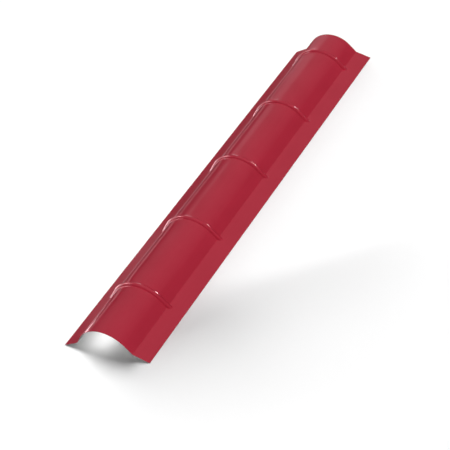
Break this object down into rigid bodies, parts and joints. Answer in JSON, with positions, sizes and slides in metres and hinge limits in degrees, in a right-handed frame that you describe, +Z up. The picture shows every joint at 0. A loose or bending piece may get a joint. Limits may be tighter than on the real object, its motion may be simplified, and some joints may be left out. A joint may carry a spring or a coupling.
{
  "type": "roof ridge cap",
  "caption": "Half-round steel ridge cap with pressed cross ribs and two sloping flanges with hemmed edges, covering the top joint of a pitched metal roof.",
  "frame": {"origin": "on the floor under the middle of the cap, which lies on the hemmed edges of its two flanges", "axes": "+Y along the ridge from the near end to the lap end, +X across the cap, +Z up through the crown"},
  "size_m": [0.3726, 2, 0.1173],
  "materials": {
    "painted_sheet": "ruby red semi-gloss coil paint on galvanised steel sheet"
  },
  "bodies": {
    "root": {"ridge_cap": "painted_sheet"}
  },
  "joints": []
}
